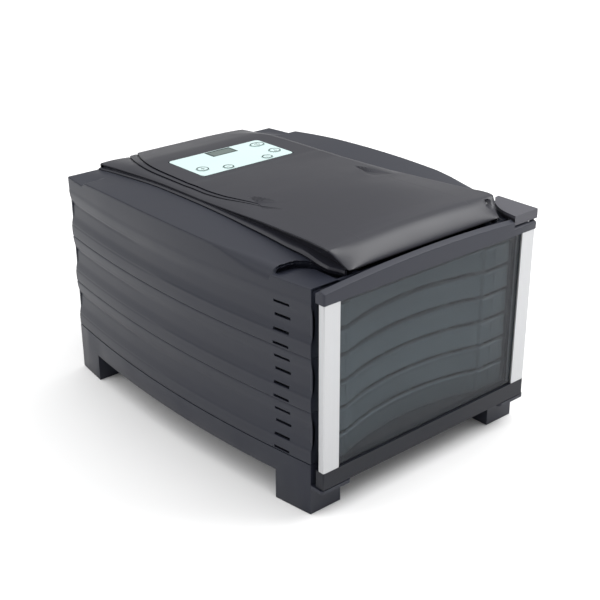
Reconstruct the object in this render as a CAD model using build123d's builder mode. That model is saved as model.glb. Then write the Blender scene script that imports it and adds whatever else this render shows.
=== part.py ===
"""Front-loading cabinet food dehydrator with six sliding trays, a hinged glass door and a rear fan.

Millimetres, +Z up, +X to the right as seen from the door, +Y towards the rear.
The origin is on the standing surface, under the middle of the whole object.
"""
import os
from math import cos, pi, radians, sin, sqrt

from build123d import *

os.makedirs("parts", exist_ok=True)

UP = (Align.CENTER, Align.CENTER, Align.MIN)

# ---- cabinet -------------------------------------------------------------------------
body_front = -206.5            # front plane of the cabinet, behind the door
body_rear = 223.5              # rear plane of the cabinet
body_middle = (body_front + body_rear) / 2
body_depth = body_rear - body_front
corner_half_width = 153.0      # half the width at the four vertical corners
side_bulge = 16.0              # how far each side swells outwards at mid depth
side_radius = ((body_depth / 2) ** 2 + side_bulge ** 2) / (2 * side_bulge)
side_axis_x = corner_half_width + side_bulge - side_radius
wall = 3.0

foot_height = 34.0
foot_width = 40.0
foot_depth = 47.0
base_end_height = 45.0         # top of the base's front and rear walls
base_top = 58.0                # seam between the base and the lower side panels
lower_top = 116.3              # seam between lower and middle side panels
middle_top = 174.6             # seam between middle side panels and the top casing
seam_gap = 0.3
shoulder_edge = 248.0          # casing height at its front and rear edges
shoulder_crown = 258.5         # casing height at mid depth
ripple = 3.0                   # depth of the horizontal waves in the sides
front_flange = 141.0           # inner edge of the return flanges at the front
rear_flange = 135.0            # inner edge of the return flanges at the rear
service_half_width = 88.0      # opening in the casing under the hood
service_front = body_front + 55.0
service_rear = body_front + 410.0

pad_radius = 9.0
pad_thickness = 3.0
pad_relief = 0.6               # how far the rubber pads stand out of the feet
pad_x = 133.0
pad_inset = 23.5
pad_places = [
    (side * pad_x, end)
    for side in (-1, 1)
    for end in (body_front + pad_inset, body_rear - pad_inset)
]

# ---- side vents ----------------------------------------------------------------------
slot_pitch = 14.6
slot_top = 222.0
slot_count = 12
slot_height = 3.0
slot_length = 20.5
slot_from_front = 28.0

# ---- hood and controls ---------------------------------------------------------------
hood_wall = 2.5
hood_front = body_front - 3.0
hood_lip = 254.5               # underside of the hood's front lip
hood_nose = 275.5              # where the rounded nose meets the top
hood_crown = 278.0
hood_flat = 267.0              # level area around the control panel
hood_rear_edge = 254.0
hood_end = 108.0               # half the hood's width at its front and rear edges
panel_width = 132.8
panel_depth = 69.4
panel_y = body_front + 314.3
panel_seat = 266.0             # floor of the pocket that the control panel lies in
panel_thickness = 1.2
panel_corner = 5.0
pocket_floor = 3.5
display_size = (32.0, 14.8, 3.0)
display_x = 3.5
display_y = body_front + 338.0
display_margin = 1.5
key_travel = 0.5
key_gap = 0.25
key_bottom = 264.4
key_top = 267.9
# name: (x, distance behind the cabinet's front plane, half width, half depth)
keys = {
    "key_power": (53.5, 332.9, 10.0, 7.5),
    "key_temperature": (54.6, 301.1, 7.5, 7.5),
    "key_time": (32.3, 287.6, 6.6, 6.6),
    "key_minus": (-24.8, 287.6, 6.6, 6.6),
    "key_fan": (-52.4, 300.1, 7.5, 7.5),
}
board_thickness = 1.6
control_board_z = 258.0
power_board_z = 232.0
power_board_y = body_front + 200.0

# ---- door ----------------------------------------------------------------------------
door_front = body_front - 17.0
door_back = body_front - 5.0
door_thickness = door_back - door_front
door_middle_y = (door_front + door_back) / 2
door_left = -151.5
door_right = 150.0
door_middle = (door_left + door_right) / 2
door_bottom = 36.0
bottom_bar_top = 55.0
top_bar_bottom = 235.0
top_bar_end = 249.0
top_bar_crown = 256.3
top_bar_right = 152.0          # the bar ends a little outside the metal strip
rabbet_drop = 4.0              # step along the top bar's rear edge
rabbet_depth = 6.0
notch_z = 245.0                # the bar is lower where the hinge cap covers it
notch_x = 115.5
corner_round = 1.5
strip_width = 20.5
strip_back = door_front + 8.0
groove_front = door_front + 2.0
groove_back = door_front + 6.4
groove_depth = 4.3
glass_gap = 0.2
hinge_x = 143.0
hinge_y = body_front - 11.0
pin_radius = 2.5
pin_clearance = 0.05
upper_pin_bottom = 240.3
ledge_bottom = 31.0
ledge_top = 35.0
ledge_x = 133.0
cap_bottom = 246.0
cap_top = 256.5
cap_inner = 117.0
cap_outer = 154.0
cap_front = body_front - 15.5
cap_rear = body_front + 39.0
cap_bend = (131.0, body_front + 23.0)     # points on the cap's round side
cap_bend_end = (147.0, body_front + 37.5)
pin_socket = 6.0               # how far the upper pin reaches into the cap
seat_depth = 40.0              # recess for the cap, front to rear
seat_inner = 116.0
catch_x = -130.0
catch_width = 24.0
catch_z = 241.5
catch_height = 6.0

# ---- drying chamber ------------------------------------------------------------------
tray_count = 6
tray_pitch = 29.2
first_tray = 47.7              # underside of the lowest tray
tray_half_width = 137.0
tray_front = body_front + 5.0
tray_rear = body_front + 326.0
tray_middle = (tray_front + tray_rear) / 2
tray_depth = tray_rear - tray_front
fascia_height = 24.7
fascia_recess = 14.0           # how far the middle of a tray's front curves back
fascia_thickness = 3.0
fascia_flat_inner = 90.0       # where the flat ends of a tray's front stop
rim_height = 5.0
rim_thickness = 3.0
tray_floor = 2.0
floor_bar = 8.0                # bars between the nine openings in a tray's floor
floor_open_front = body_front + 24.0
floor_open_rear = tray_rear - 8.0
floor_open_half = 125.0
mesh_thickness = 0.8
liner_inner = 138.5
liner_thickness = 2.0
rail_inner = 131.0
rail_height = 2.5
chamber_floor = first_tray - rail_height
chamber_ceiling = 222.0
chamber_front = body_front + 3.0
baffle_y = body_front + 334.0

# ---- fan, heater and mains inlet -----------------------------------------------------
fan_z = 134.0
impeller_front = body_front + 350.0
impeller_length = 26.0
impeller_radius = 74.0
hub_radius = 17.0
blade_count = 7
shaft_radius = 3.0
shaft_front = body_front + 352.0
shaft_rear = body_front + 410.0
motor_radius = 29.0
motor_front = body_front + 388.0
motor_rear = body_front + 412.0
shroud_inner = 80.0
shroud_outer = 83.0
shroud_front = body_front + 348.0
shroud_plate = body_front + 384.0
mount_spread = 78.0
post_radius = 5.0
rear_panel_front = body_rear - 6.0
rear_panel_half_width = 145.5
heater_y = body_front + 342.0
heater_radius = 82.0
heater_tube = 3.2
terminal_x = 108.0
inlet_x = 108.0
inlet_z = 74.0
screw_x = 141.0
screw_heights = (87.0, 145.0, 205.0)


def finish(piece, name):
    """Label one finished piece and write its file."""
    piece.part.label = name
    export_step(piece.part, f"parts/{name}.step")


def tray_bottom(level):
    """Underside of the tray at a level, counted from 0 at the bottom."""
    return first_tray + tray_pitch * level


# ---- shared forms --------------------------------------------------------------------
def plan_outline(inset=0.0):
    """The cabinet in plan: straight front and rear, sides swelling outwards."""
    half = corner_half_width - inset
    with BuildSketch() as outline:
        with BuildLine():
            right = ThreePointArc(
                (half, body_front + inset),
                (half + side_bulge, body_middle),
                (half, body_rear - inset),
            )
            left = ThreePointArc(
                (-half, body_rear - inset),
                (-half - side_bulge, body_middle),
                (-half, body_front + inset),
            )
            Line(right @ 1, left @ 0)
            Line(left @ 1, right @ 0)
        make_face()
    return outline.sketch


def shoulder_block(drop=0.0):
    """Everything under the casing's top, which is arched from front to rear, lowered by drop."""
    reach = 180.0
    bottom = 150.0
    with BuildPart() as block:
        with BuildSketch(Plane.YZ.offset(-reach)):
            with BuildLine():
                arch = ThreePointArc(
                    (body_front, shoulder_edge - drop),
                    (body_middle, shoulder_crown - drop),
                    (body_rear, shoulder_edge - drop),
                )
                Polyline(
                    arch @ 1,
                    (body_rear, bottom),
                    (body_front - 20, bottom),
                    (body_front - 20, shoulder_edge - drop),
                    arch @ 0,
                )
            make_face()
        extrude(amount=2 * reach)
    return block.part


def side_wall(bottom, top, thickness=wall):
    """Right-hand wall between two heights: a wavy section turned about the side's own centre."""
    turn = 20.0
    start = radians(-turn / 2)
    height = top - bottom
    crests = ((0.0, 1.2), (0.25, 0.2), (0.55, ripple), (0.82, 0.4), (1.0, 0.8))
    wave = [(side_radius - dip, bottom + share * height) for share, dip in crests]
    section_plane = Plane(
        origin=(side_axis_x, body_middle, 0),
        x_dir=(cos(start), sin(start), 0),
        z_dir=(sin(start), -cos(start), 0),
    )
    with BuildPart() as band:
        with BuildSketch(section_plane):
            with BuildLine():
                outer = Spline(*wave)
                inner = Spline(*[(radius - thickness, z) for radius, z in wave])
                Line(outer @ 0, inner @ 0)
                Line(outer @ 1, inner @ 1)
            make_face()
        revolve(axis=Axis((side_axis_x, body_middle, 0), (0, 0, 1)), revolution_arc=turn)
        with Locations((corner_half_width, body_middle, (bottom + top) / 2)):
            Box(100, body_depth, height, mode=Mode.INTERSECT)
    return band.part


def end_flange(bottom, top, inner, y):
    """Return flange of a side wall, from x = inner out to the wavy surface, starting at depth y."""
    with BuildPart() as flange:
        add(side_wall(bottom, top, thickness=30.0))
        with Locations(((inner + 160) / 2, y + wall / 2, (bottom + top) / 2)):
            Box(160 - inner, wall, top - bottom, mode=Mode.INTERSECT)
    return flange.part


def vent_slots(bottom, top):
    """The slots of the right-hand side that fall between two heights."""
    middle = body_front + slot_from_front + slot_length / 2
    heights = [slot_top - slot_pitch * index for index in range(slot_count)]
    inside = [z for z in heights if bottom < z < top]
    with BuildPart() as slots:
        with Locations(*[(corner_half_width, middle, z) for z in inside]):
            Box(40, slot_length, slot_height)
    return slots.part


def half_shell(bottom, top):
    """Right-hand wall with its flanges, vents and screw holes."""
    with BuildPart() as shell:
        add(side_wall(bottom, top))
        add(end_flange(bottom, top, front_flange, body_front))
        add(end_flange(bottom, top, rear_flange, body_rear - wall))
        add(vent_slots(bottom, top), mode=Mode.SUBTRACT)
        add(rear_screw_space(bottom, top), mode=Mode.SUBTRACT)
    return shell.part


# ---- screws at the rear --------------------------------------------------------------
def rear_screw(x, z, clearance=0.0):
    """One recessed pan-head screw that enters from the rear."""
    shank = 1.5 + clearance
    head = 3.2 + clearance
    with BuildPart() as screw:
        with BuildSketch(Plane.XZ.offset(-(body_rear - 1.6))):
            with Locations((x, z)):
                Circle(head)
        extrude(amount=-1.6)
        with BuildSketch(Plane.XZ.offset(-(body_rear - 14.0))):
            with Locations((x, z)):
                Circle(shank)
        extrude(amount=-12.4)
    return screw.part


def rear_screw_space(bottom, top):
    """Holes for the screws of the right-hand side between two heights."""
    with BuildPart() as space:
        for z in screw_heights:
            if bottom < z < top:
                add(rear_screw(screw_x, z, clearance=0.1))
    return space.part


def make_rear_screws():
    with BuildPart() as rear_screws:
        for z in screw_heights:
            add(rear_screw(screw_x, z))
            add(rear_screw(-screw_x, z))
    finish(rear_screws, "rear_screws")


# ---- base ----------------------------------------------------------------------------
def make_base():
    """Shallow pan with four block feet, and two small ledges under the door."""
    opening_height = base_top - base_end_height
    with BuildPart() as base:
        with BuildSketch(Plane.XY.offset(foot_height)):
            add(plan_outline())
        extrude(amount=base_top - foot_height)
        with BuildSketch(Plane.XY.offset(foot_height + wall)):
            add(plan_outline(wall))
        extrude(amount=base_top, mode=Mode.SUBTRACT)
        with Locations(
            (0, body_front, base_end_height + opening_height / 2),
            (0, body_rear, base_end_height + opening_height / 2),
        ):
            Box(2 * front_flange, 4 * wall, opening_height, mode=Mode.SUBTRACT)
        with BuildSketch(Plane.XY.offset(pad_relief)):
            with Locations(
                (-corner_half_width, body_front + foot_depth / 2),
                (corner_half_width, body_front + foot_depth / 2),
                (-corner_half_width, body_rear - foot_depth / 2),
                (corner_half_width, body_rear - foot_depth / 2),
            ):
                Rectangle(2 * foot_width, foot_depth)
            add(plan_outline(), mode=Mode.INTERSECT)
        extrude(amount=foot_height - pad_relief)
        with BuildSketch(Plane.XY.offset(ledge_bottom)):
            with Locations((-ledge_x, door_front + 10), (ledge_x, door_front + 10)):
                RectangleRounded(foot_width, 20, 4)
        extrude(amount=ledge_top - ledge_bottom)
        with Locations(*[(x, y, 0) for x, y in pad_places]):
            Cylinder(pad_radius, pad_thickness, align=UP, mode=Mode.SUBTRACT)
        with Locations((hinge_x, hinge_y, ledge_bottom)):
            Cylinder(pin_radius, ledge_top - ledge_bottom, align=UP, mode=Mode.SUBTRACT)
    finish(base, "base")


def make_foot_pads():
    with BuildPart() as foot_pads:
        with Locations(*[(x, y, 0) for x, y in pad_places]):
            Cylinder(pad_radius, pad_thickness, align=UP)
    finish(foot_pads, "foot_pads")


# ---- side panels and top casing ------------------------------------------------------
def make_side_panels():
    levels = {"lower": (base_top, lower_top), "middle": (lower_top, middle_top)}
    for level, (bottom, top) in levels.items():
        right = half_shell(bottom + seam_gap, top)
        with BuildPart() as right_panel:
            add(right)
        finish(right_panel, f"side_panel_right_{level}")
        with BuildPart() as left_panel:
            add(mirror(right, about=Plane.YZ, mode=Mode.PRIVATE))
        finish(left_panel, f"side_panel_left_{level}")


def casing_half():
    """Right-hand side of the top casing, clipped under its arched top."""
    with BuildPart() as half:
        add(half_shell(middle_top + seam_gap, shoulder_crown))
        add(shoulder_block(0.5), mode=Mode.INTERSECT)
    return half.part


def casing_top():
    """Arched top plate, cross walls and the two cap seats, within the plan outline."""
    cross_wall_rear_bottom = 232.0
    tall = 40.0
    seat_outer = 175.0
    seat_block = 5.0
    with BuildPart() as top:
        with BuildSketch(Plane.XY.offset(shoulder_edge - 25)):
            add(plan_outline())
        extrude(amount=tall)
        add(shoulder_block(wall), mode=Mode.SUBTRACT)
        with Locations((0, (service_front + service_rear) / 2, shoulder_crown)):
            Box(2 * service_half_width, service_rear - service_front, tall, mode=Mode.SUBTRACT)
        with Locations((0, body_front + wall / 2, (chamber_ceiling + shoulder_edge) / 2)):
            Box(2 * front_flange, wall, shoulder_edge - chamber_ceiling)
        with Locations((0, body_rear - wall / 2, (cross_wall_rear_bottom + shoulder_edge) / 2)):
            Box(2 * front_flange, wall, shoulder_edge - cross_wall_rear_bottom)
        with BuildSketch(Plane.XY.offset(cap_bottom - wall)):
            with Locations((-corner_half_width, body_front + 22), (corner_half_width, body_front + 22)):
                Rectangle(2 * (corner_half_width - seat_inner + seat_block), seat_depth + 4 + seat_block)
            with Locations((0, body_front - 20)):
                Rectangle(400, 40, mode=Mode.SUBTRACT)
            add(plan_outline(0.5), mode=Mode.INTERSECT)
        extrude(amount=tall)
        add(shoulder_block(), mode=Mode.INTERSECT)
        for side in (-1, 1):
            with Locations(
                (side * (seat_inner + seat_outer) / 2, body_front, cap_bottom + tall / 2)
            ):
                Box(seat_outer - seat_inner, 2 * seat_depth, tall, mode=Mode.SUBTRACT)
    return top.part


def make_top_casing():
    right = casing_half()
    with BuildPart() as top_casing:
        add(casing_top())
        add(right)
        add(mirror(right, about=Plane.YZ, mode=Mode.PRIVATE))
        for side in (-1, 1):
            with Locations((side * 150, body_front, cap_bottom + 20)):
                Box(50, 2 * seat_depth, 40, mode=Mode.SUBTRACT)
    finish(top_casing, "top_casing")


def make_rear_panel():
    """Flat rear wall with the air intake, the fan posts and the mains inlet cut-out."""
    bottom = 40.0
    top = 238.0
    plate_middle = rear_panel_front + wall / 2
    slot_width = 4.0
    slot_step = 9.0
    intake_radius = 72.0
    slots_each_side = 7
    boss_radius = 4.2
    boss_length = 8.5
    with BuildPart() as rear_panel:
        with Locations((0, plate_middle, (bottom + top) / 2)):
            Box(2 * rear_panel_half_width, wall, top - bottom)
        for index in range(-slots_each_side, slots_each_side + 1):
            x = index * slot_step
            half_length = sqrt(intake_radius ** 2 - x ** 2)
            for half in (-1, 1):
                centre = fan_z + half * (half_length / 2 + 2)
                with Locations((x, plate_middle, centre)):
                    Box(slot_width, 3 * wall, half_length - 4, mode=Mode.SUBTRACT)
        for x in (-mount_spread, mount_spread):
            for z in (fan_z - mount_spread, fan_z + mount_spread):
                add(round_bar(x, z, motor_front, rear_panel_front, post_radius))
        for x in (-screw_x, screw_x):
            for z in screw_heights:
                add(round_bar(x, z, rear_panel_front - boss_length, rear_panel_front, boss_radius))
                add(rear_screw(x, z), mode=Mode.SUBTRACT)
        with Locations((inlet_x, plate_middle, inlet_z)):
            Box(27.6, 3 * wall, 20.2, mode=Mode.SUBTRACT)
    finish(rear_panel, "rear_panel")


# ---- hood ----------------------------------------------------------------------------
def hood_block(inset=0.0):
    """The hood's outer form, or the same form with its walls moved inwards by inset."""
    bottom = 230.0
    reach = 130.0
    front = hood_front + inset
    rear = body_rear - inset
    widths = (
        (hood_end, rear),
        (107.0, body_front + 300),
        (108.0, body_front + 180),
        (114.0, body_front + 50),
    )
    with BuildPart() as block:
        with BuildSketch(Plane.YZ.offset(-reach)):
            with BuildLine():
                nose = ThreePointArc(
                    (front, hood_lip + 1.5),
                    (front + 7.5, 269.5 - inset),
                    (hood_front + 25, hood_nose - inset),
                )
                crown = Spline(
                    nose @ 1,
                    (body_front + 70, hood_crown - inset),
                    (body_front + 150, 276.0 - inset),
                    (body_front + 215, 271.5 - inset),
                    (body_front + 274, hood_flat - inset),
                )
                level = Line(crown @ 1, (body_front + 354, hood_flat - inset))
                tail = Spline(
                    level @ 1,
                    (body_front + 395, 261.5 - inset),
                    (rear, hood_rear_edge - inset),
                )
                Polyline(tail @ 1, (rear, bottom), (front, bottom), nose @ 0)
            make_face()
        extrude(amount=2 * reach)
        with BuildSketch(Plane.XY.offset(bottom)):
            with BuildLine():
                right = Spline(*[(x - inset, y) for x, y in widths], (hood_end - inset, front))
                left = Spline(*[(inset - x, y) for x, y in widths], (inset - hood_end, front))
                Line(right @ 0, left @ 0)
                Line(right @ 1, left @ 1)
            make_face()
        extrude(amount=60, mode=Mode.INTERSECT)
    return block.part


def key_outline(name, margin=0.0):
    """Oval of one key, grown by margin."""
    x, depth, half_width, half_depth = keys[name]
    with BuildSketch() as oval:
        with Locations((x, body_front + depth)):
            Ellipse(half_width + margin, half_depth + margin)
    return oval.sketch


def make_hood():
    """Cover over the electronics, with a pocket for the control panel and board posts."""
    pocket_margin = 6.0
    display_gap = 0.6
    post_radius_small = 2.5
    pocket_bottom = panel_seat - pocket_floor
    post_length = pocket_bottom - control_board_z - board_thickness
    with BuildPart() as hood:
        add(hood_block())
        add(hood_block(hood_wall), mode=Mode.SUBTRACT)
        add(shoulder_block(), mode=Mode.SUBTRACT)
        with Locations((0, body_front - 10, hood_lip - 10)):
            Box(300, 20, 20, mode=Mode.SUBTRACT)
        with Locations((0, panel_y, pocket_bottom)):
            Box(panel_width + pocket_margin, panel_depth + pocket_margin, pocket_floor, align=UP)
        with BuildSketch(Plane.XY.offset(panel_seat)):
            with Locations((0, panel_y)):
                RectangleRounded(panel_width + 0.4, panel_depth + 0.4, panel_corner)
        extrude(amount=10, mode=Mode.SUBTRACT)
        with Locations((display_x, display_y, panel_seat - 10)):
            Box(
                display_size[0] + display_gap,
                display_size[1] + display_gap,
                20,
                align=UP,
                mode=Mode.SUBTRACT,
            )
        with BuildSketch(Plane.XY.offset(panel_seat - 10)):
            for name in keys:
                add(key_outline(name, key_gap))
        extrude(amount=20, mode=Mode.SUBTRACT)
        with Locations((0, panel_y, pocket_bottom - post_length)):
            with GridLocations(112, 54, 2, 2):
                Cylinder(post_radius_small, post_length, align=UP)
    finish(hood, "hood")


def make_control_panel():
    with BuildPart() as control_panel:
        with BuildSketch(Plane.XY.offset(panel_seat)):
            with Locations((0, panel_y)):
                RectangleRounded(panel_width, panel_depth, panel_corner)
            with Locations((display_x, display_y)):
                Rectangle(
                    display_size[0] - display_margin,
                    display_size[1] - display_margin,
                    mode=Mode.SUBTRACT,
                )
            for name in keys:
                add(key_outline(name, key_gap), mode=Mode.SUBTRACT)
        extrude(amount=panel_thickness)
    finish(control_panel, "control_panel")


def make_keys():
    for name in keys:
        with BuildPart() as key:
            with BuildSketch(Plane.XY.offset(key_bottom)):
                add(key_outline(name))
            extrude(amount=key_top - key_bottom)
            fillet(key.edges().group_by(Axis.Z)[-1], 0.4)
        finish(key, name)


def make_display():
    with BuildPart() as display:
        with Locations((display_x, display_y, panel_seat - display_size[2])):
            Box(*display_size, align=UP)
    finish(display, "display")


def make_control_board():
    """Board under the panel with one dome switch under each key."""
    switch_top = key_bottom - key_travel - 0.1
    with BuildPart() as control_board:
        with Locations((0, panel_y, control_board_z)):
            Box(122, 64, board_thickness, align=UP)
        for x, depth, half_width, half_depth in keys.values():
            with Locations((x, body_front + depth, control_board_z + board_thickness)):
                Box(6, 6, switch_top - control_board_z - board_thickness, align=UP)
    finish(control_board, "control_board")


def make_power_board():
    """Mains supply board on four posts above the chamber's ceiling."""
    top = power_board_z + board_thickness
    with BuildPart() as power_board:
        with Locations((0, power_board_y, power_board_z)):
            Box(110, 80, board_thickness, align=UP)
        with Locations((-28, power_board_y + 8, top)):
            Box(32, 27, 18, align=UP)
        with Locations((22, power_board_y + 16, top)):
            Box(20, 16, 15, align=UP)
        with Locations((14, power_board_y - 18, top), (36, power_board_y - 18, top)):
            Cylinder(8, 17, align=UP)
    finish(power_board, "power_board")


# ---- hinge ---------------------------------------------------------------------------
def make_hinge_cap():
    """Cap with one round side that holds the door's upper pin."""
    with BuildPart() as hinge_cap:
        with BuildSketch(Plane.XY.offset(cap_bottom)):
            with BuildLine():
                round_side = ThreePointArc(
                    (cap_inner, cap_front), cap_bend, cap_bend_end
                )
                Polyline(
                    round_side @ 1, (cap_outer, cap_rear), (cap_outer, cap_front), round_side @ 0
                )
            make_face()
        extrude(amount=cap_top - cap_bottom)
        fillet(hinge_cap.edges().group_by(Axis.Z)[-1], 1.0)
        with Locations((hinge_x, hinge_y, cap_bottom)):
            Cylinder(pin_radius, pin_socket, align=UP, mode=Mode.SUBTRACT)
    finish(hinge_cap, "hinge_cap")


def make_hinge_pins():
    with BuildPart() as hinge_pin_upper:
        with Locations((hinge_x, hinge_y, upper_pin_bottom)):
            Cylinder(pin_radius, cap_bottom + pin_socket - upper_pin_bottom, align=UP)
    finish(hinge_pin_upper, "hinge_pin_upper")
    with BuildPart() as hinge_pin_lower:
        with Locations((hinge_x, hinge_y, ledge_bottom)):
            Cylinder(pin_radius, 13, align=UP)
    finish(hinge_pin_lower, "hinge_pin_lower")


# ---- door ----------------------------------------------------------------------------
def glass_groove(bottom):
    """Space for one edge of the glass in a bar."""
    with BuildPart() as groove:
        with Locations((door_middle, (groove_front + groove_back) / 2, bottom)):
            Box(
                door_right - door_left - 4, groove_back - groove_front, groove_depth, align=UP
            )
    return groove.part


def make_door_top_bar():
    """Bar with an arched top, stepped at the rear, and a lower end under the hinge cap."""
    above = shoulder_crown + 20
    with BuildPart() as door_top_bar:
        with BuildSketch(Plane.XZ.offset(-door_back)):
            with BuildLine():
                arch = ThreePointArc(
                    (door_left, top_bar_end),
                    (door_middle, top_bar_crown),
                    (top_bar_right, top_bar_end),
                )
                Polyline(
                    arch @ 1, (top_bar_right, top_bar_bottom), (door_left, top_bar_bottom), arch @ 0
                )
            make_face()
            with Locations(((notch_x + 200) / 2, notch_z + 20)):
                Rectangle(200 - notch_x, 40, mode=Mode.SUBTRACT)
        extrude(amount=door_thickness)
        with BuildSketch(Plane.XZ.offset(-door_back)):
            with BuildLine():
                step = ThreePointArc(
                    (door_left - 1, top_bar_end - rabbet_drop),
                    (door_middle, top_bar_crown - rabbet_drop),
                    (top_bar_right + 1, top_bar_end - rabbet_drop),
                )
                Polyline(step @ 1, (top_bar_right + 1, above), (door_left - 1, above), step @ 0)
            make_face()
        extrude(amount=rabbet_depth, mode=Mode.SUBTRACT)
        upright = door_top_bar.edges().filter_by(Axis.Z).group_by(Axis.Y)[0].sort_by(Axis.X)
        fillet([upright[0], upright[-1]], corner_round)
        add(glass_groove(top_bar_bottom), mode=Mode.SUBTRACT)
        with Locations((hinge_x, hinge_y, upper_pin_bottom - 0.3)):
            Cylinder(pin_radius + pin_clearance, 20, align=UP, mode=Mode.SUBTRACT)
        with Locations((catch_x, door_back, catch_z)):
            Box(catch_width, 2, catch_height, mode=Mode.SUBTRACT)
    finish(door_top_bar, "door_top_bar")


def make_door_bottom_bar():
    with BuildPart() as door_bottom_bar:
        with Locations((door_middle, door_middle_y, door_bottom)):
            Box(door_right - door_left, door_thickness, bottom_bar_top - door_bottom, align=UP)
        fillet(door_bottom_bar.edges().filter_by(Axis.Z), corner_round)
        add(glass_groove(bottom_bar_top - groove_depth), mode=Mode.SUBTRACT)
        with Locations((hinge_x, hinge_y, door_bottom)):
            Cylinder(pin_radius + pin_clearance, 9, align=UP, mode=Mode.SUBTRACT)
    finish(door_bottom_bar, "door_bottom_bar")


def make_door_glass():
    glass_middle = (groove_front + groove_back) / 2
    height = top_bar_bottom - bottom_bar_top + 2 * (groove_depth - glass_gap)
    with BuildPart() as door_glass:
        with Locations((door_middle, glass_middle, (top_bar_bottom + bottom_bar_top) / 2)):
            Box(
                door_right - door_left - 4 - 2 * glass_gap,
                groove_back - groove_front - 2 * glass_gap,
                height,
            )
    finish(door_glass, "door_glass")


def make_door_strips():
    """Metal channels that grip the glass along its two upright edges."""
    channel_depth = strip_back - door_front
    slot_middle = (groove_front + groove_back) / 2
    for side, name in ((-1, "door_strip_left"), (1, "door_strip_right")):
        edge = door_middle + side * (door_right - door_left) / 2
        middle = edge - side * strip_width / 2
        with BuildPart() as strip:
            with BuildSketch(Plane.XY.offset(bottom_bar_top)):
                with Locations((middle, (door_front + strip_back) / 2)):
                    Rectangle(strip_width, channel_depth)
                with Locations((middle - side * 1.8, slot_middle)):
                    Rectangle(strip_width, groove_back - groove_front, mode=Mode.SUBTRACT)
            extrude(amount=top_bar_bottom - bottom_bar_top)
            outer = strip.edges().filter_by(Axis.Z).group_by(Axis.X)[0 if side < 0 else -1]
            fillet(outer, corner_round)
        finish(strip, name)


def make_catch():
    """Steel plate let into the door's top bar, and the magnet that holds it."""
    with BuildPart() as catch_plate:
        with Locations((catch_x, door_back - 0.5, catch_z)):
            Box(catch_width, 1, catch_height)
    finish(catch_plate, "catch_plate")
    with BuildPart() as catch_magnet:
        with Locations((catch_x, body_front - 1.75, catch_z - 1)):
            Box(catch_width, 3.5, catch_height)
    finish(catch_magnet, "catch_magnet")


# ---- drying chamber ------------------------------------------------------------------
def make_side_liners():
    """Chamber walls with a rail under each tray and an air window to the vents."""
    liner_bottom = chamber_floor - liner_thickness
    liner_top = chamber_ceiling + liner_thickness
    length = baffle_y - chamber_front
    with BuildPart() as right_liner:
        with Locations((liner_inner, chamber_front, liner_bottom)):
            Box(liner_thickness, length, liner_top - liner_bottom, align=Align.MIN)
        for level in range(tray_count):
            with Locations((rail_inner, body_front + 10, tray_bottom(level) - rail_height)):
                Box(liner_inner - rail_inner, 318, rail_height, align=Align.MIN)
            with Locations((liner_inner - 2, body_front + 22, tray_bottom(level) + 11)):
                Box(8, 32, 12, align=Align.MIN, mode=Mode.SUBTRACT)
    with BuildPart() as left_liner:
        add(mirror(right_liner.part, about=Plane.YZ, mode=Mode.PRIVATE))
    finish(right_liner, "liner_right")
    finish(left_liner, "liner_left")


def make_floor_and_ceiling():
    half_width = liner_inner - 0.1
    length = baffle_y - chamber_front
    middle = (baffle_y + chamber_front) / 2
    with BuildPart() as liner_floor:
        with Locations((0, middle, chamber_floor - liner_thickness)):
            Box(2 * half_width, length, liner_thickness, align=UP)
    finish(liner_floor, "liner_floor")
    with BuildPart() as liner_ceiling:
        with Locations((0, middle, chamber_ceiling)):
            Box(2 * half_width, length, liner_thickness, align=UP)
        with Locations((0, power_board_y, chamber_ceiling + liner_thickness)):
            with GridLocations(100, 70, 2, 2):
                Cylinder(4, power_board_z - chamber_ceiling - liner_thickness, align=UP)
    finish(liner_ceiling, "liner_ceiling")


def make_rear_baffle():
    """Perforated wall that spreads the warm air over all trays."""
    bottom = chamber_floor - liner_thickness
    top = chamber_ceiling + liner_thickness
    half_width = liner_inner + liner_thickness
    with BuildPart() as rear_baffle:
        with Locations((0, baffle_y + 1, (bottom + top) / 2)):
            Box(2 * half_width, liner_thickness, top - bottom)
        for level in range(tray_count):
            with Locations((0, baffle_y + 1, tray_bottom(level) + 15)):
                with GridLocations(26, 1, 9, 1):
                    Box(18, 8, 12, mode=Mode.SUBTRACT)
    finish(rear_baffle, "rear_baffle")


def tray_outline(shift=0.0, inset=0.0):
    """A tray in plan: flat ends and a hollow curve at the front, moved back by shift."""
    half = tray_half_width - inset
    front = tray_front + shift
    rear = tray_rear - inset
    with BuildSketch() as outline:
        with BuildLine():
            hollow = ThreePointArc(
                (-fascia_flat_inner, front), (0, front + fascia_recess), (fascia_flat_inner, front)
            )
            Polyline(
                hollow @ 1, (half, front), (half, rear), (-half, rear), (-half, front), hollow @ 0
            )
        make_face()
    return outline.sketch


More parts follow.
